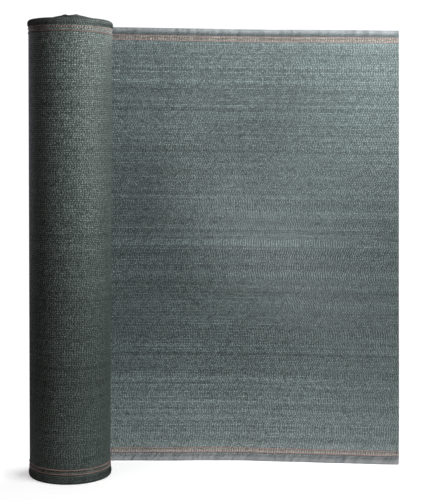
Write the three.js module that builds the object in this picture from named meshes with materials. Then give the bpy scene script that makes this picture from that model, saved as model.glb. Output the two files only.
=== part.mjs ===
// A roll of knitted privacy screen netting that stands on its end, with its loose end drawn out to the right.
// Millimetres, +Z up. The origin is the centre of the roll's flat foot, on the floor.
// The outermost turn leaves the back of the roll (+Y) and runs along +X with both selvedges level.

import * as THREE from 'three';

// Driving dimensions
const NET_WIDTH = 1000;          // from selvedge to selvedge, so the height of the standing roll
const NET_THICKNESS = 2;         // of the drawn-out sheet
const PIECE_GAP = 0.3;           // between the roll and the sheet that leaves it
const ROLL_RADIUS = 90.7;
const ROLL_SIDES = 64;

// The looped selvedges are thicker than the field, so their turns build up a little at both ends of the roll.
const SELVEDGE_SWELL = { top: 1.2, bottom: 1.0 };
const SELVEDGE_HEIGHT = 15;
const SWELL_FULL_HEIGHT = 8;     // of the selvedge's height, the part nearest the rim, where the swell is full
const SHOULDER_RADIUS = 5.5;     // rounded top rim
const FOOT_RADIUS = 2.5;         // bottom rim, pressed nearly square by the weight
const ARC_STEPS = 4;

// Inner turns stand higher than the outer ones, in rings, like a spyglass pulled out a little.
const CROWN = { outerRadius: 72, innerRadius: 12, rise: 14, rings: 7 };
const EYE_DEPTH = 24;            // the hollow middle that the first turn leaves

// Plan of the drawn-out sheet's mid-plane, from the roll's back to the cut end: a slow bow, not a flat plane.
const SHEET_PLAN = [
  { along: 90.7, depth: 95.8 },
  { along: 227, depth: 102.4 },
  { along: 363, depth: 109.7 },
  { along: 499, depth: 104.5 },
  { along: 635, depth: 96.0 },
  { along: 727, depth: 93.1 },
];
const SHEET_STEPS = 36;
const CUT_LEAN = 28.5;           // the cut end reaches this much further at the foot than at the top

const NET_COLOR = 0x5f6d6b;
const ROLL_COLOR = 0x47514e;
const NET_ROUGHNESS = 0.7;

// Points of a quarter circle of the given radius about (r, z), between two angles in degrees.
function arc(r, z, radius, startDegrees, endDegrees) {
  return Array.from({ length: ARC_STEPS + 1 }, (_, step) => {
    const angle = THREE.MathUtils.degToRad(
      THREE.MathUtils.lerp(startDegrees, endDegrees, step / ARC_STEPS)
    );
    return new THREE.Vector2(r + radius * Math.cos(angle), z + radius * Math.sin(angle));
  });
}

// The rings of the crown, from the outside in: each is a flat ledge with a low wall on its inner side.
function crownRings() {
  const { outerRadius, innerRadius, rise, rings } = CROWN;
  const points = [];
  for (let ring = 0; ring < rings; ring += 1) {
    const r = THREE.MathUtils.lerp(outerRadius, innerRadius, ring / rings);
    points.push(new THREE.Vector2(r, NET_WIDTH + rise * (ring / rings)));
    points.push(new THREE.Vector2(r, NET_WIDTH + rise * ((ring + 1) / rings)));
  }
  points.push(new THREE.Vector2(innerRadius, NET_WIDTH + rise));
  return points;
}

// Half section of the roll from the centre of its foot, up the outside and over the crown to the eye.
function rollProfile() {
  const topRadius = ROLL_RADIUS + SELVEDGE_SWELL.top;
  const footRadius = ROLL_RADIUS + SELVEDGE_SWELL.bottom;
  const eyeFloor = NET_WIDTH + CROWN.rise - EYE_DEPTH;
  return [
    new THREE.Vector2(0, 0),
    ...arc(footRadius - FOOT_RADIUS, FOOT_RADIUS, FOOT_RADIUS, -90, 0),
    new THREE.Vector2(footRadius, SWELL_FULL_HEIGHT),
    new THREE.Vector2(ROLL_RADIUS, SELVEDGE_HEIGHT),
    new THREE.Vector2(ROLL_RADIUS, NET_WIDTH - SELVEDGE_HEIGHT),
    new THREE.Vector2(topRadius, NET_WIDTH - SWELL_FULL_HEIGHT),
    ...arc(topRadius - SHOULDER_RADIUS, NET_WIDTH - SHOULDER_RADIUS, SHOULDER_RADIUS, 0, 90),
    ...crownRings(),
    new THREE.Vector2(CROWN.innerRadius, eyeFloor),
    new THREE.Vector2(0, eyeFloor),
  ];
}

function rollGeometry() {
  const geometry = new THREE.LatheGeometry(rollProfile(), ROLL_SIDES);
  return geometry.rotateX(Math.PI / 2);
}

// The sheet's mid-plane in plan. It starts beside the roll's rearmost line, just clear of the swollen selvedges.
function sheetMidline() {
  const clearOfRoll = ROLL_RADIUS + SELVEDGE_SWELL.top + PIECE_GAP + NET_THICKNESS / 2;
  const stations = [{ along: 0, depth: clearOfRoll }, ...SHEET_PLAN];
  return new THREE.SplineCurve(stations.map(({ along, depth }) => new THREE.Vector2(along, depth)));
}

// Offsets the midline to both faces, extrudes the outline upwards and leans the cut end.
function sheetGeometry() {
  const midline = sheetMidline();
  const front = [];
  const back = [];
  for (let step = 0; step <= SHEET_STEPS; step += 1) {
    const point = midline.getPointAt(step / SHEET_STEPS);
    const tangent = midline.getTangentAt(step / SHEET_STEPS);
    const offset = new THREE.Vector2(-tangent.y, tangent.x).multiplyScalar(NET_THICKNESS / 2);
    back.push(point.clone().add(offset));
    front.push(point.clone().sub(offset));
  }
  const outline = new THREE.Shape([...front, ...back.reverse()]);
  const geometry = new THREE.ExtrudeGeometry(outline, { depth: NET_WIDTH, steps: 1, bevelEnabled: false });
  const cutEnd = SHEET_PLAN[SHEET_PLAN.length - 1].along;
  const position = geometry.getAttribute('position');
  for (let index = 0; index < position.count; index += 1) {
    const x = position.getX(index);
    const heightShare = position.getZ(index) / NET_WIDTH;
    if (x > cutEnd - NET_THICKNESS) {
      position.setX(index, x + CUT_LEAN * (1 - heightShare));
    }
  }
  return geometry;
}

function clothMesh(name, geometry, color) {
  const finish = { color, roughness: NET_ROUGHNESS, metalness: 0 };
  const mesh = new THREE.Mesh(geometry, new THREE.MeshStandardMaterial(finish));
  mesh.name = name;
  return mesh;
}

const group = new THREE.Group();
group.name = 'privacy_screen_netting';
group.add(clothMesh('roll', rollGeometry(), ROLL_COLOR));
group.add(clothMesh('loose_end', sheetGeometry(), NET_COLOR));

export default group;
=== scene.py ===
import math

import bpy
import numpy as np
from mathutils import Matrix, Vector


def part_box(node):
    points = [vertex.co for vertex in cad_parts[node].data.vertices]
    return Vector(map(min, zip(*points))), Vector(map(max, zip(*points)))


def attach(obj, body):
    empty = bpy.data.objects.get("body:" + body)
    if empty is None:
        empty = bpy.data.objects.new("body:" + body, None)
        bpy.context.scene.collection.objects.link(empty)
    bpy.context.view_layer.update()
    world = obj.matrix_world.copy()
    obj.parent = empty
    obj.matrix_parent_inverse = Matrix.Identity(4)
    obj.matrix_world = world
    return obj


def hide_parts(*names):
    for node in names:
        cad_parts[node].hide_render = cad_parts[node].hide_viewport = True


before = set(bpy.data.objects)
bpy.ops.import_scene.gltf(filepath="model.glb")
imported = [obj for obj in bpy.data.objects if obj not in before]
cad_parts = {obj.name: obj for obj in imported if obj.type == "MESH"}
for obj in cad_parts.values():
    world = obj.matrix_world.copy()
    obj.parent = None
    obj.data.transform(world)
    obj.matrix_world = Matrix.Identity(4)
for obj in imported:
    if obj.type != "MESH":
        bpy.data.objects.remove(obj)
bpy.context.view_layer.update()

# A roll of knitted privacy screen netting stands on its end, with its loose end drawn out to the right.
# The whole net is one sheet, modelled along its real length: run counts from the cut end into the roll,
# and v counts across the net, from the lower selvedge up to the upper one. Sizes are in metres.

MM = 0.001
roll_low, roll_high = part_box("roll")
sheet_low, sheet_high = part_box("loose_end")

# The net
NET_WIDTH = sheet_high.z - sheet_low.z
NET_LENGTH = 25.0
THICKNESS = 0.8 * MM
COURSE = 5.5 * MM            # one stitch along the net
WALE = 3.9 * MM              # one chain of stitches to the next, across the net
LOOP_REACH = 1.0 * MM        # how far the upper selvedge's loops stand out past the knit
LOOP_RADIUS = 0.55 * MM      # of the selvedge's strands
MARKER_RADIUS = 0.70 * MM    # of each of the two strands that are twisted to a marker thread
MARKER_SWING = 0.62 * MM

# The roll
SELVEDGE_SWELL = 1.2 * MM    # how much the thick selvedges build up at the roll's ends
ROLL_RADIUS = (roll_high.x - roll_low.x) / 2 - SELVEDGE_SWELL
SELVEDGE_HEIGHT = 15 * MM
TURN_PITCH = 1.05 * MM
EYE_RADIUS = 12 * MM
CROWN_RADIUS = 72 * MM       # turns inside this radius stand higher, the more the further in
CROWN_SLOPE = 0.235
SHOULDER = 5.5 * MM          # height over which the upper selvedge curls inwards
SHOULDER_CURL = 4.2 * MM
RIGHT_RISE = 1.8 * MM        # how much higher the turns under the outermost ones stand on the right
CURL_REACH = 38 * MM         # how deep into the roll the curl presses the turns
TURN_STATIONS = 72

# The drawn-out end, in plan: the middle of the sheet, as distance along X and depth along Y in mm
SHEET_PLAN = [
    (90.7, 95.8),
    (227, 102.4),
    (363, 109.7),
    (499, 104.5),
    (635, 96.0),
    (727, 93.1),
]
CUT_TOP = 727 * MM
CUT_LEAN = 28.5 * MM         # the cut end reaches this much further at the foot
SHEET_STATIONS = 84
OUTERMOST = 0.985            # how much of the roll's outermost turn carries strands

# Selvedge pattern, as distances in from the edge of the net
SLASH_LOW = 1.5 * MM         # one pale strand for each stitch slants across the selvedge from here
SLASH_END = 12.5 * MM        # to here
SLASH_LEAN = 0.75            # how far it runs along the net for each step across it
SLASH_POINTS = 5
SLASH_RADIUS = 1.0 * MM
MARKERS = (17 * MM, 26.5 * MM)
BORDER_END = 27.5 * MM
LOWER_SPARE = 4.5 * MM       # the lower selvedge is that much wider, in its outer part
LOWER_SHARE = 0.25

# The camera
CAMERA_PLACE = (0.316, -2.425, 0.740)
CAMERA_LENS = 79.4
CAMERA_DOWN = 5.47           # degrees below level
CAMERA_ROLL = 0.72

# The floor, and how bright it and the surroundings look
FLOOR_CENTRE = (0.32, 0.05, -0.2 * MM)
FLOOR_RADIUS = 0.8
FLOOR_SIDES = 96
FLOOR_GLOW = 0.33
SURROUNDINGS = 1.05


def smooth(x, low, high):
    """0 below low, 1 above high, with soft ends."""
    t = np.clip((x - low) / (high - low), 0, 1)
    return t * t * (3 - 2 * t)


# Camera


def make_camera():
    data = bpy.data.cameras.new("camera")
    data.sensor_width = 36
    data.lens = CAMERA_LENS
    camera = bpy.data.objects.new("camera", data)
    bpy.context.scene.collection.objects.link(camera)
    pitch = math.radians(90 - CAMERA_DOWN)
    roll = math.radians(CAMERA_ROLL)
    turn = Matrix.Rotation(pitch, 4, "X") @ Matrix.Rotation(roll, 4, "Z")
    camera.matrix_world = Matrix.Translation(CAMERA_PLACE) @ turn
    data.clip_end = 50
    bpy.context.scene.camera = camera


# The plan of the net: where its middle runs, seen from above


class SheetPlan:
    """The drawn-out end's plan curve, from the roll's rearmost point to the cut end."""

    def __init__(self, start):
        knots = [start] + [(x * MM, y * MM) for x, y in SHEET_PLAN]
        self.x = np.array([k[0] for k in knots])
        self.y = np.array([k[1] for k in knots])
        slope = np.gradient(self.y, self.x)
        slope[0] = 0.0
        self.slope = slope
        fine = np.linspace(0, CUT_TOP + 2 * CUT_LEAN, 1200)
        step = np.hypot(np.diff(fine), np.diff(self.depth(fine)))
        self.fine = fine
        self.length = np.concatenate([[0], np.cumsum(step)])

    def depth(self, x):
        x = np.asarray(x, float)
        i = np.clip(np.searchsorted(self.x, x) - 1, 0, len(self.x) - 2)
        width = self.x[i + 1] - self.x[i]
        t = (x - self.x[i]) / width
        t = np.minimum(t, 1)
        beyond = np.maximum(x - self.x[-1], 0)
        a = (2 * t**3 - 3 * t**2 + 1) * self.y[i] + (t**3 - 2 * t**2 + t) * width * self.slope[i]
        b = (3 * t**2 - 2 * t**3) * self.y[i + 1] + (t**3 - t**2) * width * self.slope[i + 1]
        return a + b + beyond * self.slope[-1]

    def along(self, x):
        """Length of cloth from the roll's rearmost point to x."""
        return np.interp(x, self.fine, self.length)

    def reach(self, length):
        """The x that a length of cloth from the roll's rearmost point comes to."""
        return np.interp(length, self.length, self.fine)


outer_radius = ROLL_RADIUS - THICKNESS / 2
plan = SheetPlan((0.0, outer_radius))
CUT_RUN = plan.along(CUT_TOP)
TURNS = (outer_radius - EYE_RADIUS) / TURN_PITCH


def wound_length(turn):
    """Length of net wound on from the roll's rearmost point to the given turn, counted inwards."""
    return math.tau * (outer_radius * turn - TURN_PITCH * turn**2 / 2)


def turn_at(length):
    inside = outer_radius**2 - TURN_PITCH * np.clip(length, 0, None) / math.pi
    return (outer_radius - np.sqrt(inside)) / TURN_PITCH


def rise(radius, turn, angle):
    """How far a turn stands above the floor: a cone with a saddle at its eye, and ragged turns."""
    cone = CROWN_SLOPE * np.clip(CROWN_RADIUS - radius, 0, None)
    near_eye = smooth(-radius, -24 * MM, -12 * MM)
    saddle = (1.4 * np.cos(2 * angle) - 0.6 * np.cos(angle)) * MM * near_eye
    ragged = (0.65 + 0.35 * np.sin(turn * 2.4) + 0.3 * np.sin(turn * 5.1 + 1)) * MM
    right = RIGHT_RISE * np.clip(np.cos(angle), 0, None) * smooth(outer_radius - radius, 0.5 * MM, 6 * MM)
    return cone + saddle + right + ragged * smooth(turn, 1.0, 3.0)


def bulge(radius, v):
    """How far the turn stands out at height v: swollen selvedges, and the upper one curled inwards."""
    edge = np.minimum(v, NET_WIDTH - v)
    swell = SELVEDGE_SWELL * (1 - smooth(edge, 0.45 * SELVEDGE_HEIGHT, SELVEDGE_HEIGHT))
    into = np.clip(v - (NET_WIDTH - SHOULDER), 0, None) / SHOULDER
    curl = SHOULDER_CURL * (1 - np.sqrt(np.clip(1 - 0.98 * into**2, 0, None)))
    foot = np.clip(3 * MM - v, 0, None) / (3 * MM)
    share = np.clip((radius - (ROLL_RADIUS - CURL_REACH)) / CURL_REACH, 0, 1)
    return (swell - curl - 1.2 * MM * foot**2) * share


def rolled(run, v):
    """A point of the wound net, turn by turn inwards from the roll's rearmost point."""
    turn = turn_at(run - CUT_RUN)
    angle = math.pi / 2 + math.tau * turn
    radius = outer_radius - TURN_PITCH * turn
    out = radius + bulge(radius, v)
    return np.stack([out * np.cos(angle), out * np.sin(angle), v + rise(radius, turn, angle)], -1)


def drawn(run, v):
    """A point of the drawn-out end, between the cut end and the roll's rearmost point."""
    x = plan.reach(np.clip(CUT_RUN - run, 0, None))
    free = smooth(x, 0.02, 0.16)
    near_roll = bulge(outer_radius, v) * (1 - smooth(x, 0.0, 0.05))
    wave = 0.9 * MM * np.sin(x * 23 + v * 4) * np.sin(v * 7 + 0.6)
    wave += 0.5 * MM * np.sin(x * 51 - v * 9)
    return np.stack([x, plan.depth(x) + near_roll + wave * free, v], -1)


def net_point(run, v, off=0.0):
    """A point of the net: run from the cut end, v from the lower selvedge, off outwards from its middle."""
    run, v = np.broadcast_arrays(np.asarray(run, float), np.asarray(v, float))
    point = np.where((run < CUT_RUN)[..., None], drawn(run, v), rolled(run, v))
    if np.any(off):
        point = point + net_normal(run, v) * np.asarray(off)[..., None]
    return point


def net_normal(run, v):
    """The way out of the roll, and to the back on the drawn-out end."""
    step = 0.5 * MM
    along = net_point(run + step, v) - net_point(run - step, v)
    up = net_point(run, v + step) - net_point(run, v - step)
    normal = np.cross(along, up)
    return normal / np.linalg.norm(normal, axis=-1, keepdims=True)


def cut_end(v):
    """Where along the net its slanting cut end lies at height v."""
    return CUT_RUN - plan.along(CUT_TOP + CUT_LEAN * (1 - np.asarray(v) / NET_WIDTH))


# Mesh of the net


def edge_rows(fine):
    """Heights of the mesh's rows: close together along the selvedges."""
    low = np.array([1.2, 2, 3, 5, 7.5, 11, 15, 22, 30, 38]) * MM
    high = NET_WIDTH - np.array([38, 30, 22, 15, 11, 8.5, 6.5, 5.5, 4.5, 3.5, 2.4, 1.4, 0.4]) * MM
    if fine:
        return np.concatenate([low, np.linspace(low[-1], high[0], 44)[1:-1], high])
    return np.concatenate([low[[0, 2, 6]], high[[3, 5, 7, 9, 12]]])


def net_columns():
    """The net's columns from the cut end inwards, each as (runs, rows)."""
    rows = edge_rows(True)
    columns = []
    for share in np.linspace(0, 1, SHEET_STATIONS + 1):
        columns.append((cut_end(rows) * (1 - share) + CUT_RUN * share, rows))
    turn = 0.0
    while turn < TURNS:
        radius = outer_radius - TURN_PITCH * turn
        stations = TURN_STATIONS if turn < 3 else max(28, int(TURN_STATIONS * radius / outer_radius * 0.8))
        turn += 1 / stations
        rows = edge_rows(turn < 1.05)
        columns.append((np.full(len(rows), CUT_RUN + wound_length(turn)), rows))
    return columns


def zipped(left, right, left_rows, right_rows):
    """Triangles or quads between two columns of vertex numbers with rows at different heights."""
    if len(left) == len(right):
        return [(left[k], right[k], right[k + 1], left[k + 1]) for k in range(len(left) - 1)]
    faces = []
    i = j = 0
    while i < len(left) - 1 or j < len(right) - 1:
        if j == len(right) - 1 or (i < len(left) - 1 and left_rows[i + 1] <= right_rows[j + 1]):
            faces.append((left[i], right[j], left[i + 1]))
            i += 1
        else:
            faces.append((left[i], right[j], right[j + 1]))
            j += 1
    return faces


def bake_place(run, v, side):
    """Place on the bake map: most of it for what shows, and the hidden turns squeezed together."""
    first = CUT_RUN - cut_end(0) + math.tau * outer_radius
    shown = np.clip(run - cut_end(0), 0, first) / first
    hidden = np.clip(run - cut_end(0) - first, 0, None) / NET_LENGTH
    margin = 0.002 + 0.001 * side
    return np.stack([margin + 0.86 * shown + 0.13 * hidden, margin + 0.994 * v / NET_WIDTH], -1)


def make_net():
    columns = net_columns()
    points, cloth, baked, front, back = [], [], [], [], []
    for run, rows in columns:
        for side, numbers in ((1, front), (-1, back)):
            numbers.append(np.arange(len(rows)) + len(points))
            points.extend(net_point(run, rows, np.full(len(rows), side * THICKNESS / 2)))
            cloth.extend(zip(run, rows))
            baked.extend(bake_place(run, rows, side))
    faces = []
    for k in range(len(columns) - 1):
        rows_a, rows_b = columns[k][1], columns[k + 1][1]
        faces += [f[::-1] for f in zipped(front[k], front[k + 1], rows_a, rows_b)]
        faces += zipped(back[k], back[k + 1], rows_a, rows_b)
        faces.append((front[k][0], front[k + 1][0], back[k + 1][0], back[k][0]))
        faces.append((front[k][-1], back[k][-1], back[k + 1][-1], front[k + 1][-1]))
    for k, turned in ((0, False), (len(columns) - 1, True)):
        for j in range(len(front[k]) - 1):
            rim = (front[k][j], back[k][j], back[k][j + 1], front[k][j + 1])
            faces.append(rim[::-1] if turned else rim)
    net = mesh_object("net", points, faces)
    lay_map(net, "cloth", np.array(cloth))
    lay_map(net, "OFBake", np.array(baked))
    net.data.set_sharp_from_angle(angle=math.radians(50))
    return net


def strands(name, paths, radii, sides):
    """One mesh of thin closed tubes, each with its own radius. Each path is an array of (run, v, off)."""
    points, cloth, faces = [], [], []
    ring = np.linspace(0, math.tau, sides, endpoint=False)
    for path, radius in zip(paths, radii):
        run, v, off = path.T
        middle = net_point(run, v, off)
        out = net_normal(run, v)
        ahead = np.gradient(middle, axis=0)
        beside = np.cross(ahead, out)
        beside /= np.linalg.norm(beside, axis=1, keepdims=True)
        out = np.cross(beside, ahead)
        out /= np.linalg.norm(out, axis=1, keepdims=True)
        first = len(points)
        for k in range(len(middle)):
            for a in ring:
                points.append(middle[k] + radius * (math.cos(a) * out[k] + math.sin(a) * beside[k]))
                cloth.append((run[k], a))
        for k in range(len(middle) - 1):
            at = first + k * sides
            for j in range(sides):
                near, far = at + j, at + (j + 1) % sides
                faces.append((near, near + sides, far + sides, far))
        faces.append(tuple(range(first, first + sides)))
        faces.append(tuple(range(len(points) - 1, len(points) - 1 - sides, -1)))
    item = mesh_object(name, points, faces)
    lay_map(item, "cloth", np.array(cloth))
    return item


def shown_runs(v, each_stitch):
    """Places along the drawn-out end and the outermost turn, so many to each stitch."""
    start = cut_end(v) + 1 * MM
    end = CUT_RUN + wound_length(OUTERMOST)
    return np.linspace(start, end, int((end - start) / COURSE * each_stitch))


def lift(run):
    """On the roll the strands lie further out, clear of the turn beneath."""
    return 0.3 * MM * smooth(run, CUT_RUN - 20 * MM, CUT_RUN + 20 * MM)


def marker_paths():
    """Each marker thread as two strands twisted round each other."""
    paths = []
    for marker in MARKERS:
        for v in (marker + LOWER_SPARE, NET_WIDTH - marker):
            run = shown_runs(v, 7)
            swing = math.tau * run / COURSE
            for sign in (1, -1):
                height = v + sign * MARKER_SWING * np.sin(swing)
                paths.append(np.stack([run, height, lift(run) + sign * MARKER_SWING * np.cos(swing)], -1))
    return paths, [MARKER_RADIUS] * len(paths)


def edge_loops(upper):
    """One long strand in loops along the net's edge."""
    run = shown_runs(NET_WIDTH if upper else 0, 8)
    swing = math.pi * run / COURSE
    edge = 2.4 * MM - (2.4 * MM - LOOP_RADIUS - 0.1 * MM) * np.sqrt(np.abs(np.sin(swing)))
    height = NET_WIDTH + LOOP_REACH - edge if upper else edge
    return np.stack([run, height, lift(run) + 0.15 * MM * np.cos(2 * swing)], -1)


def slashes(low, high):
    """One strand for each stitch, slanting up across the selvedge between two heights."""
    share = np.linspace(0, 1, SLASH_POINTS)
    height = low + (high - low) * share
    first = cut_end(low) + SLASH_LEAN * (high - low) + 1 * MM
    last = CUT_RUN + wound_length(OUTERMOST)
    paths = []
    for stitch in range(math.ceil(first / COURSE), math.floor(last / COURSE)):
        run = stitch * COURSE - SLASH_LEAN * (height - low)
        paths.append(np.stack([run, height, lift(run) + 0.35 * MM * np.sin(math.pi * share)], -1))
    return paths


def selvedge_paths():
    upper_end = NET_WIDTH - SLASH_END
    lower_end = SLASH_END + LOWER_SPARE
    loops = [edge_loops(False), edge_loops(True)]
    across = slashes(SLASH_LOW, lower_end) + slashes(upper_end, NET_WIDTH - 1.0 * MM)
    return loops + across, [LOOP_RADIUS] * len(loops) + [SLASH_RADIUS] * len(across)


def mesh_object(name, points, faces):
    mesh = bpy.data.meshes.new(name)
    mesh.from_pydata([tuple(p) for p in points], [], [tuple(int(i) for i in f) for f in faces])
    mesh.validate()
    mesh.update()
    mesh.shade_smooth()
    item = bpy.data.objects.new(name, mesh)
    bpy.context.scene.collection.objects.link(item)
    return item


def lay_map(item, name, places):
    """Gives the mesh a UV map from one (u, v) for each vertex."""
    layer = item.data.uv_layers.new(name=name)
    corners = np.empty(len(item.data.loops), int)
    item.data.loops.foreach_get("vertex_index", corners)
    layer.data.foreach_set("uv", places[corners].astype(np.float32).ravel())


# Materials


class Nodes:
    """Short ways to add shader nodes to one material."""

    def __init__(self, name):
        self.material = bpy.data.materials.new(name)
        self.material.use_nodes = True
        self.tree = self.material.node_tree
        self.tree.nodes.clear()

    def add(self, kind, inputs=(), **settings):
        node = self.tree.nodes.new(kind)
        for key, value in settings.items():
            setattr(node, key, value)
        for key, value in dict(inputs).items():
            self.join(value, node.inputs[key])
        return node

    def join(self, value, socket):
        if isinstance(value, bpy.types.NodeSocket):
            self.tree.links.new(value, socket)
        else:
            socket.default_value = value

    def math(self, operation, *values):
        node = self.tree.nodes.new("ShaderNodeMath")
        node.operation = operation
        for socket, value in zip(node.inputs, values):
            self.join(value, socket)
        return node.outputs[0]

    def between(self, value, low, high, to_low=0.0, to_high=1.0):
        """Maps value from low..high to to_low..to_high, with soft ends."""
        node = self.add("ShaderNodeMapRange", interpolation_type="SMOOTHSTEP")
        for key, item in zip((0, 1, 2, 3, 4), (value, low, high, to_low, to_high)):
            self.join(item, node.inputs[key])
        return node.outputs[0]

    def mixed(self, factor, a, b):
        node = self.tree.nodes.new("ShaderNodeMix")
        node.data_type = "RGBA"
        self.join(factor, node.inputs[0])
        self.join(a, node.inputs[6])
        self.join(b, node.inputs[7])
        return node.outputs[2]

    def point(self, x, y, z=0.0):
        node = self.add("ShaderNodeCombineXYZ", {0: x, 1: y, 2: z})
        return node.outputs[0]

    def noise(self, vector, scale=1.0, detail=2.0):
        node = self.add("ShaderNodeTexNoise", {"Vector": vector, "Scale": scale, "Detail": detail})
        return node.outputs[0]

    def patches(self, along, across, along_scale, across_scale, layer=0.0, detail=2.0):
        """Noise in patches about 1 / along_scale long and 1 / across_scale wide."""
        x = self.math("MULTIPLY", along, along_scale)
        y = self.math("MULTIPLY", across, across_scale)
        return self.noise(self.point(x, y, layer), detail=detail)

    def varied(self, base, value, strength):
        """The base, and on top of it value times strength of itself."""
        return self.math("MULTIPLY", base, self.math("MULTIPLY_ADD", value, strength, 1.0))

    def bell(self, value, width):
        """1 where value is 0, and falling away on both sides over the given width."""
        off = self.math("DIVIDE", value, width)
        return self.math("EXPONENT", self.math("MULTIPLY", self.math("MULTIPLY", off, off), -1.0))

    def random(self, vector):
        node = self.add("ShaderNodeTexWhiteNoise", {"Vector": vector}, noise_dimensions="2D")
        return node.outputs[0]


# The knit's look. A contrast is the whole range of a share that is 1 on average
PIECE_CONTRAST = 1.0         # from one bit of tape to the next
ROW_CONTRAST = 0.34          # from one chain of stitches to the next
DRIFT_CONTRAST = 0.7         # in drifts along the net, a few centimetres wide
STREAK_CONTRAST = 0.65       # in streaks that run far along the net, a few millimetres wide
CLOUD_CONTRAST = 0.3         # in clouds some decimetres across
FIBRE_CONTRAST = 0.3
TICK_CONTRAST = 1.5          # of the pale stitches between the marker threads
TICK_WIDTH = 0.22            # as a share of a stitch
TICK_MEAN = 0.39             # mean of such a tick over its stitch
# The gaps' dark colour is painted shade between the threads; the loop tops are paler, partly as a painted
# highlight
GAP_FILL = 0.35              # how much of the tape's colour the gaps between the threads still have
GLEAM_LEAST = 0.15           # how pale the tops of the dullest loops are
PALEST = 0.9                 # no part of any colour goes past this
SHEET_LEAN = 0.05            # how far the bits of tape lean out of the net's surface
ROLL_LEAN = 0.31
# The roll's tape is a darker copy of the drawn-out end's tape: painted shade of the wound turns
SHEET_TAPE = (0.066, 0.094, 0.092)
ROLL_TAPE_SHADED = (0.059, 0.081, 0.074)
PALE_SLASH = (0.36, 0.375, 0.385)

# How much the drawn-out end is stretched and lit by painted light, and how far across the net each reaches
FOOT_STRETCH_AND_LIGHT, FOOT_REACH = 0.060, 0.17
TOP_STRETCH_AND_LIGHT, TOP_REACH = 0.014, 0.12
SLANT_STRETCH_AND_LIGHT, SLANT_REACH = 0.060, 0.14
RIGHT_STRETCH_AND_LIGHT = 0.016

# Painted shade on the roll, from here to there in lengths of net past its rearmost point, and how dark
RIGHT_START, RIGHT_END, RIGHT_SHADE = 0.34, 0.39, 0.82
COVERED_START, COVERED_END, COVERED_SHADE = 0.57, 0.60, 0.43

# Streaks along the whole net, where the tape was darker or lighter: (height, half width in mm, strength)
STREAKS = [
    (0.585, 2.2, 0.10),
    (0.630, 2.0, 0.10),
    (0.523, 3.0, 0.10),
    (0.442, 3.0, 0.12),
    (0.540, 5.0, -0.16),
    (0.400, 4.0, -0.14),
    (0.254, 5.0, -0.16),
    (0.212, 6.0, -0.14),
    (0.093, 4.0, -0.12),
    (0.760, 4.0, -0.08),
]


def wound_share(n, along):
    """0 on the drawn-out end and 1 on the roll."""
    return n.between(along, CUT_RUN - 0.05, CUT_RUN + 0.01)


def stretch_and_painted_light(n, along, across):
    """How much the drawn-out end is stretched, which opens its pores and also paints light on it."""
    x = n.math("SUBTRACT", CUT_RUN, along)
    foot = n.math("MULTIPLY", n.bell(across, FOOT_REACH), FOOT_STRETCH_AND_LIGHT)
    top = n.math("MULTIPLY", n.bell(n.math("SUBTRACT", across, NET_WIDTH), TOP_REACH), TOP_STRETCH_AND_LIGHT)
    # A slanting band of painted light comes down to the right, and is weaker near the roll and near the cut
    # end
    off_slant = n.math("SUBTRACT", n.math("MULTIPLY_ADD", x, 0.62, across), 0.775)
    from_roll = n.between(x, 0.12, 0.45, 0.0, SLANT_STRETCH_AND_LIGHT)
    slant = n.math("MULTIPLY", n.bell(off_slant, SLANT_REACH), from_roll)
    slant = n.math("MULTIPLY", slant, n.between(x, 0.5, 0.68, 1.0, 0.3))
    to_right = n.between(x, 0.2, 0.6, 0.0, RIGHT_STRETCH_AND_LIGHT)
    right = n.math("MULTIPLY", to_right, n.between(across, 0.7, 0.8, 1.0, 0.0))
    return n.math("ADD", n.math("ADD", foot, top), n.math("ADD", slant, right))


def stitch_pattern(n, along, across, wound):
    """Height of the knit from 0 in its gaps to 1, its loops, and random values for its pieces and rows.

    A whole number beside a row's number, or as a layer, only sets one pattern apart from another.
    """
    # The wound turns lie more even, and the drawn-out end's stitches are pulled out of line from row to row
    pulled = n.math("MULTIPLY_ADD", wound, -0.35, 1.0)
    jitter = n.patches(along, across, 60.0, 90.0, layer=5.0)
    run = n.math("MULTIPLY_ADD", jitter, 0.8, n.math("DIVIDE", along, COURSE))
    wale = n.math("DIVIDE", across, WALE)
    between_wales = n.math("ADD", wale, 0.5)
    chain_row = n.random(n.point(n.math("FLOOR", wale), 7.0))
    tape_row = n.random(n.point(n.math("FLOOR", between_wales), 11.0))
    course = n.math("MULTIPLY_ADD", chain_row, pulled, run)
    tape_course = n.math("MULTIPLY_ADD", tape_row, n.math("MULTIPLY", pulled, 2.0), run)

    # Chains of loops run along the net, and tapes cross between them in zigzags
    in_course = n.math("SUBTRACT", n.math("FRACT", course), 0.5)
    off_chain = n.math("SUBTRACT", n.math("FRACT", wale), 0.5)
    loop = n.math("MULTIPLY", n.bell(in_course, 0.27), n.bell(off_chain, 0.32))
    thick = n.math("MULTIPLY_ADD", n.bell(in_course, 0.3), 0.7, 0.3)
    links = n.math("MULTIPLY", n.bell(off_chain, 0.20), thick)
    swing = n.math("PINGPONG", tape_course, 1.0)
    in_gap = n.math("FRACT", between_wales)
    first = n.bell(n.math("SUBTRACT", in_gap, swing), 0.19)
    second = n.bell(n.math("SUBTRACT", in_gap, n.math("SUBTRACT", 1.0, swing)), 0.19)
    tape = n.math("MAXIMUM", first, second)
    height = n.math("MAXIMUM", links, n.math("MULTIPLY", tape, 0.7))

    third_row = n.math("FLOOR", n.math("MULTIPLY", wale, 3.0))
    half_course = n.math("FLOOR", n.math("MULTIPLY", course, 2.0))
    cell = n.point(half_course, third_row)
    piece = n.add("ShaderNodeTexWhiteNoise", {"Vector": cell}, noise_dimensions="2D")
    row = n.random(n.point(n.math("FLOOR", wale), 3.0))
    return height, loop, piece, row


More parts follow.
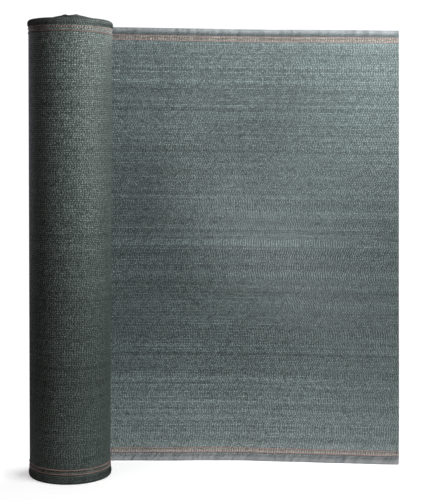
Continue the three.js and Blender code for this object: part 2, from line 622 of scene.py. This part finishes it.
def grain_tone(n, along, across, wound, piece, row, fibre):
    """How pale each place is: pieces, rows, drifts and streaks along the net, clouds and fibres."""
    drift = n.patches(along, across, 1.6, 42.0, detail=5.0)
    cloud = n.patches(along, across, 5.0, 4.0, layer=3.0)
    streak = n.patches(along, across, 0.7, 150.0, layer=9.0)
    # Rows are more alike on the roll and towards the cut end, and so are the bits of tape
    far = n.between(along, CUT_RUN - 0.70, CUT_RUN - 0.35, 0.72, 1.0)
    even = n.math("MULTIPLY", n.math("MULTIPLY_ADD", wound, -0.5, 1.0), far)
    alike = n.math("SUBTRACT", n.between(across, 0.05, 0.60, 0.40, 0.80), 1.0)
    alike = n.math("MULTIPLY", wound, alike)
    piece_contrast = n.math("MULTIPLY_ADD", alike, PIECE_CONTRAST, PIECE_CONTRAST)
    contrasts = (
        (piece, n.math("MULTIPLY", piece_contrast, far)),
        (row, n.math("MULTIPLY", even, ROW_CONTRAST)),
        (drift, n.math("MULTIPLY", even, DRIFT_CONTRAST)),
        (streak, n.math("MULTIPLY", even, STREAK_CONTRAST)),
        (cloud, CLOUD_CONTRAST),
        (fibre, FIBRE_CONTRAST),
    )
    tone = 1.0
    for value, contrast in contrasts:
        tone = n.varied(tone, n.math("SUBTRACT", value, 0.5), contrast)
    for at, wide, strength in STREAKS:
        bell = n.bell(n.math("SUBTRACT", across, at), wide * MM)
        tone = n.varied(tone, bell, strength)
    return tone


def painted_light_tone(n, along, across, wound, tone):
    """The tone with painted light and shade: paler at the foot, and darker above the middle and round the
    roll.
    """
    # Painted light from below: the foot of the net is paler, more on the drawn-out end than on the roll
    foot = n.bell(across, n.math("MULTIPLY_ADD", wound, -0.05, 0.24))
    foot_light_strength = n.math("MULTIPLY_ADD", wound, -1.10, 1.85)
    tone = n.varied(tone, foot, foot_light_strength)
    # Painted shade: a slanting band above the middle of the drawn-out end is darker
    x = n.math("SUBTRACT", CUT_RUN, along)
    shade_above = n.bell(n.math("SUBTRACT", across, n.math("MULTIPLY_ADD", x, 0.45, 0.60)), 0.10)
    inside = n.math("MULTIPLY", n.between(x, 0.02, 0.10), n.between(x, 0.45, 0.62, 1.0, 0.0))
    tone = n.varied(tone, n.math("MULTIPLY", shade_above, inside), -0.17)
    # Painted shade on the roll: its right side beside the drawn-out end, and the inner turns, which lie in
    # each other's shade
    right = n.between(along, CUT_RUN + RIGHT_START, CUT_RUN + RIGHT_END, 1.0, RIGHT_SHADE)
    covered_shade = n.between(along, CUT_RUN + COVERED_START, CUT_RUN + COVERED_END, 1.0, COVERED_SHADE)
    return n.math("MULTIPLY", n.math("MULTIPLY", tone, right), covered_shade)


def with_slashes(n, along, across, edge, colour):
    """Pale slashes across the selvedge, paler towards its edge, each with a paleness of its own."""
    low = n.between(across, 0.4, 0.6, SLASH_LOW, NET_WIDTH - SLASH_END)
    leant = n.math("MULTIPLY_ADD", n.math("SUBTRACT", across, low), SLASH_LEAN, along)
    stitch = n.math("ADD", n.math("DIVIDE", leant, COURSE), 0.5)
    slash = n.bell(n.math("SUBTRACT", n.math("FRACT", stitch), 0.5), 0.28)
    own = n.math("MULTIPLY_ADD", n.random(n.point(n.math("FLOOR", stitch), 21.0)), 1.2, 0.3)
    reach = n.between(edge, 2 * MM, 15 * MM, 1.0, 0.12)
    inside = n.math("MULTIPLY", reach, n.between(edge, 14 * MM, 15.5 * MM, 1.0, 0.0))
    # Painted light from below: the slashes of the lower selvedge are paler than those of the upper
    inside = n.math("MULTIPLY", inside, n.between(across, 0.1, 0.9, 2.2, 0.55))
    return n.mixed(n.math("MULTIPLY", n.math("MULTIPLY", slash, own), inside), colour, (*PALE_SLASH, 1))


def net_colour(n, along, across, wound, height, paleness_and_gleam):
    """The field, the bordered selvedge with its two marker threads, and the roll's green, darkened by
    painted shade.
    """
    spare = n.math("MINIMUM", n.math("MULTIPLY", across, LOWER_SHARE), LOWER_SPARE)
    lower_edge = n.math("SUBTRACT", across, spare)
    edge = n.math("MINIMUM", lower_edge, n.math("SUBTRACT", NET_WIDTH, across))
    cover = n.math("MULTIPLY_ADD", height, 1 - GAP_FILL, GAP_FILL)

    def thread(gap_shade, tape_colour, loop_paleness_and_gleam):
        """Painted shade between the threads, the tape's colour on them, and loop tops paler, partly as a
        painted highlight.
        """
        return n.mixed(paleness_and_gleam, n.mixed(cover, (*gap_shade, 1), (*tape_colour, 1)), (*loop_paleness_and_gleam, 1))

    green = thread((0.012, 0.017, 0.017), SHEET_TAPE, (0.30, 0.36, 0.35))
    shaded_green = thread((0.011, 0.014, 0.013), ROLL_TAPE_SHADED, (0.30, 0.35, 0.33))
    slate = thread((0.010, 0.014, 0.015), (0.045, 0.060, 0.062), (0.16, 0.22, 0.23))
    olive = thread((0.018, 0.018, 0.015), (0.115, 0.108, 0.095), (0.95, 0.90, 0.80))
    teal = thread((0.014, 0.020, 0.020), (0.084, 0.114, 0.114), (0.34, 0.41, 0.41))
    colour = n.mixed(n.between(edge, 0.95 * BORDER_END, 1.02 * BORDER_END), slate, teal)
    colour = n.mixed(n.between(edge, 1.4 * BORDER_END, 1.6 * BORDER_END), colour, green)
    band = n.math(
        "MULTIPLY",
        n.between(edge, MARKERS[0] - 1.5 * MM, MARKERS[0] + 1 * MM),
        n.between(edge, MARKERS[1] - 1 * MM, MARKERS[1] + 1.5 * MM, 1.0, 0.0),
    )
    colour = with_slashes(n, along, across, edge, colour)

    # Between the marker threads, pale stitches cross the whole band
    in_course = n.math("SUBTRACT", n.math("FRACT", n.math("DIVIDE", along, COURSE)), 0.5)
    tick = n.bell(in_course, TICK_WIDTH)
    tick = n.math("MULTIPLY_ADD", tick, TICK_CONTRAST, 1 - TICK_MEAN * TICK_CONTRAST)
    # Painted light from below: the ticks are paler at the foot than at the top
    tick = n.math("MULTIPLY", tick, n.between(across, 0.1, 0.9, 1.10, 0.76))
    ticked = n.add("ShaderNodeVectorMath", {0: olive, "Scale": tick}, operation="SCALE")
    on_sheet = n.mixed(band, colour, ticked.outputs[0])
    # On the roll the net is a darker copy with fainter ticks: painted shade of the wound turns
    on_roll_shaded = n.mixed(n.math("MULTIPLY", band, 0.32), shaded_green, ticked.outputs[0])
    return n.mixed(wound, on_sheet, on_roll_shaded)


def pore_alpha(n, stretched_and_lit, wound, height):
    """See-through where the knit is lowest, in pores that widen where the net is stretched."""
    through = n.math("MULTIPLY_ADD", stretched_and_lit, 0.4, n.math("MULTIPLY_ADD", wound, -0.005, 0.006))
    # The height at which the knit goes from clear to solid
    pore = n.math("MULTIPLY", n.math("POWER", through, 1.2), 1.055)
    return n.between(height, n.math("MULTIPLY", pore, 0.7), n.math("MULTIPLY", pore, 1.3))


def leaning_normal(n, height, fibre, piece, wound):
    """The knit's relief, with each bit of tape leaning its own way."""
    relief = n.math("MULTIPLY_ADD", fibre, 0.15, height)
    bump = n.add("ShaderNodeBump", {"Strength": 0.4, "Distance": 0.5 * MM, "Height": relief})
    middle = (0.5, 0.5, 0.5)
    centred = n.add("ShaderNodeVectorMath", {0: piece.outputs[1], 1: middle}, operation="SUBTRACT")
    lean = n.math("MULTIPLY_ADD", wound, ROLL_LEAN - SHEET_LEAN, SHEET_LEAN)
    leaning = n.add("ShaderNodeVectorMath", {0: centred.outputs[0], "Scale": lean}, operation="SCALE")
    leant = n.add("ShaderNodeVectorMath", {0: bump.outputs[0], 1: leaning.outputs[0]}, operation="ADD")
    normal = n.add("ShaderNodeVectorMath", {0: leant.outputs[0]}, operation="NORMALIZE")
    return normal.outputs[0]


def net_material():
    n = Nodes("knitted_net")
    place = n.add("ShaderNodeUVMap", uv_map="cloth")
    split = n.add("ShaderNodeSeparateXYZ", {0: place.outputs[0]})
    along, across = split.outputs[0], split.outputs[1]
    wound = wound_share(n, along)
    height, loop, piece, row = stitch_pattern(n, along, across, wound)
    fibre = n.patches(along, across, 900.0, 2600.0, detail=3.0)

    stretched_and_lit = n.math("MULTIPLY", stretch_and_painted_light(n, along, across), n.math("SUBTRACT", 1.0, wound))
    tone = grain_tone(n, along, across, wound, piece.outputs[0], row, fibre)
    tone = painted_light_tone(n, along, across, wound, tone)
    # Painted light: the net is paler where it is stretched, at the foot, at the top, along the slanting
    # band and to the right
    tone = n.varied(tone, stretched_and_lit, 4.5)
    # The loop tops' paleness, partly a painted highlight, differs from one bit of tape to the next
    paleness_and_gleam = n.math("MULTIPLY", loop, n.math("MULTIPLY_ADD", piece.outputs[0], 0.6, GLEAM_LEAST))
    colour = net_colour(n, along, across, wound, height, paleness_and_gleam)
    toned = n.add("ShaderNodeVectorMath", {0: colour, "Scale": tone}, operation="SCALE")
    palest = (PALEST, PALEST, PALEST)
    shaded = n.add("ShaderNodeVectorMath", {0: toned.outputs[0], 1: palest}, operation="MINIMUM")
    shader = n.add(
        "ShaderNodeBsdfPrincipled",
        {
            "Base Color": shaded.outputs[0],
            "Roughness": n.math("MULTIPLY_ADD", height, -0.35, 0.8),
            "Alpha": pore_alpha(n, stretched_and_lit, wound, height),
            "Normal": leaning_normal(n, height, fibre, piece, wound),
            "Specular IOR Level": 0.25,
            "Sheen Weight": 0.05,
            "Sheen Roughness": 0.4,
        },
    )
    out = n.add("ShaderNodeOutputMaterial")
    n.join(shader.outputs[0], out.inputs[0])
    return n.material


def strand_material(name, dark, pale, on_roll_shaded, stitch_contrast, dive_shade, at_top, inner):
    """Twisted plastic fibre that differs from stitch to stitch.

    dive is how much painted shade darkens it once each stitch, where it goes under the loops. at_top is how
    pale it is at the upper selvedge, against twice as pale at the foot with painted light from below, and
    inner how pale it is away from the net's edge. on_roll_shaded, its colour on the wound turns, is darker
    with painted shade.
    """
    n = Nodes(name)
    place = n.add("ShaderNodeUVMap", uv_map="cloth")
    split = n.add("ShaderNodeSeparateXYZ", {0: place.outputs[0]})
    along, around = split.outputs[0], split.outputs[1]
    fibre = n.patches(along, around, 500.0, 3.0, detail=3.0)
    course = n.math("DIVIDE", along, COURSE)
    stitch = n.random(n.point(n.math("FLOOR", course), 3.0))
    top = n.bell(n.math("SUBTRACT", n.math("FRACT", course), 0.5), 0.35)
    share = n.math("MULTIPLY_ADD", stitch, stitch_contrast, 1 - stitch_contrast)
    # Painted shade: it darkens once each stitch, where it goes under the loops
    share = n.math("MULTIPLY", share, n.math("MULTIPLY_ADD", top, dive_shade, 1 - dive_shade))
    share = n.math("MULTIPLY", share, n.math("MULTIPLY_ADD", fibre, 0.5, 0.75))
    spot = n.add("ShaderNodeTexCoord").outputs["Object"]
    height = n.add("ShaderNodeSeparateXYZ", {0: spot}).outputs[2]
    # Painted light from below: twice as pale at the foot, falling to at_top at the upper selvedge
    share = n.math("MULTIPLY", share, n.between(height, 0.1, 0.9, 2.0, at_top))
    edge = n.math("MINIMUM", height, n.math("SUBTRACT", NET_WIDTH, height))
    share = n.math("MULTIPLY", share, n.between(edge, 3 * MM, 14 * MM, 1.0, inner))
    # On the roll the strands take a darker colour: painted shade of the wound turns
    pale_there = n.mixed(wound_share(n, along), (*pale, 1), (*on_roll_shaded, 1))
    bump = n.add("ShaderNodeBump", {"Strength": 0.5, "Distance": 0.1 * MM, "Height": fibre})
    shader = n.add(
        "ShaderNodeBsdfPrincipled",
        {
            "Base Color": n.mixed(share, (*dark, 1), pale_there),
            "Roughness": n.math("MULTIPLY_ADD", fibre, 0.25, 0.45),
            "Normal": bump.outputs[0],
            "Specular IOR Level": 0.25,
        },
    )
    out = n.add("ShaderNodeOutputMaterial")
    n.join(shader.outputs[0], out.inputs[0])
    return n.material


def marker_material():
    return strand_material(
        "marker_thread",
        dark=(0.08, 0.050, 0.047),
        pale=(0.80, 0.49, 0.47),
        on_roll_shaded=(0.46, 0.31, 0.275),
        stitch_contrast=0.5,
        dive_shade=0.85,
        at_top=0.48,
        inner=1.0,
    )


def selvedge_material():
    return strand_material(
        "selvedge_strand",
        dark=(0.03, 0.035, 0.036),
        pale=(0.93, 0.95, 0.97),
        on_roll_shaded=(0.13, 0.16, 0.15),
        stitch_contrast=0.8,
        dive_shade=0.0,
        at_top=0.5,
        inner=0.25,
    )


def floor_material():
    n = Nodes("pale_floor")
    spot = n.add("ShaderNodeTexCoord").outputs["Object"]
    grain = n.noise(spot, scale=6.0, detail=4.0)
    colour = n.mixed(grain, (0.88, 0.88, 0.88, 1), (0.92, 0.92, 0.92, 1))
    off_centre = n.add("ShaderNodeVectorMath", {0: spot, 1: FLOOR_CENTRE}, operation="DISTANCE")
    rim = n.between(off_centre.outputs["Value"], 0.35 * FLOOR_RADIUS, 0.95 * FLOOR_RADIUS)
    colour = n.mixed(rim, colour, (0, 0, 0, 1))
    seen = n.math("MULTIPLY_ADD", rim, SURROUNDINGS - FLOOR_GLOW, FLOOR_GLOW)
    glow = n.math("MULTIPLY", n.add("ShaderNodeLightPath").outputs["Is Camera Ray"], seen)
    shader = n.add(
        "ShaderNodeBsdfPrincipled",
        {
            "Base Color": colour,
            "Roughness": 0.9,
            "Specular IOR Level": 0.1,
            "Emission Color": (1, 1, 1, 1),
            "Emission Strength": glow,
        },
    )
    out = n.add("ShaderNodeOutputMaterial")
    n.join(shader.outputs[0], out.inputs[0])
    return n.material


# Surroundings


def make_floor():
    """A pale round table top that fades into the white surroundings, and throws no light on the net."""
    turn = np.linspace(0, math.tau, FLOOR_SIDES, endpoint=False)
    x, y, level = FLOOR_CENTRE
    out = np.stack([np.cos(turn), np.sin(turn), np.zeros(FLOOR_SIDES)], -1)
    rim = np.array([x, y, level]) + FLOOR_RADIUS * out
    floor = mesh_object("floor", rim, [tuple(range(FLOOR_SIDES))])
    floor.data.materials.append(floor_material())
    floor.visible_diffuse = False
    floor.visible_glossy = False


# Soft square lamps: (name, place, aim, side, watts, colour)
LAMPS = [
    ("key", (0.75, -0.50, 1.20), (0.1, 0.0, 0.6), 0.6, 17.5, (1.0, 1.0, 1.0)),
    ("rear", (1.50, 1.50, 1.20), (0.0, 0.0, 0.5), 2.0, 112.0, (1.0, 1.0, 1.0)),
    ("rear_left", (-1.50, 1.50, 1.20), (0.0, 0.0, 0.5), 2.0, 12.0, (0.94, 0.84, 1.0)),
    ("left", (-2.00, -2.00, 1.50), (0.0, 0.0, 0.5), 1.5, 13.0, (1.0, 0.90, 0.86)),
]


def make_light(name, place, aim, side, watts, colour):
    data = bpy.data.lights.new(name, "AREA")
    data.shape = "SQUARE"
    data.size = side
    data.energy = watts
    data.color = colour
    lamp = bpy.data.objects.new(name, data)
    bpy.context.scene.collection.objects.link(lamp)
    lamp.location = place
    lamp.rotation_euler = (Vector(aim) - Vector(place)).to_track_quat("-Z", "Y").to_euler()
    lamp.visible_camera = False


def make_world():
    """White surroundings that the camera sees, and that throw no light."""
    world = bpy.data.worlds.new("studio")
    bpy.context.scene.world = world
    world.use_nodes = True
    tree = world.node_tree
    tree.nodes.clear()
    path = tree.nodes.new("ShaderNodeLightPath")
    strength = tree.nodes.new("ShaderNodeMath")
    strength.operation = "MULTIPLY"
    strength.inputs[1].default_value = SURROUNDINGS
    white = tree.nodes.new("ShaderNodeBackground")
    white.inputs["Color"].default_value = (1, 1, 1, 1)
    out = tree.nodes.new("ShaderNodeOutputWorld")
    tree.links.new(path.outputs["Is Camera Ray"], strength.inputs[0])
    tree.links.new(strength.outputs[0], white.inputs["Strength"])
    tree.links.new(white.outputs[0], out.inputs[0])


make_camera()
make_floor()
make_world()
for lamp in LAMPS:
    make_light(*lamp)

net = make_net()
markers = strands("marker_threads", *marker_paths(), 5)
selvedge = strands("selvedge_loops", *selvedge_paths(), 5)
made_of = (
    (net, net_material),
    (markers, marker_material),
    (selvedge, selvedge_material),
)
for piece, material in made_of:
    piece.data.materials.append(material())
    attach(piece, "root")
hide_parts("roll", "loose_end")

bpy.context.scene.view_settings.view_transform = "Standard"
print("length of the net", round(CUT_RUN + wound_length(TURNS), 3), "turns", round(TURNS, 1))
for piece in (net, markers, selvedge):
    print(piece.name, sum(len(face.vertices) - 2 for face in piece.data.polygons), "triangles")
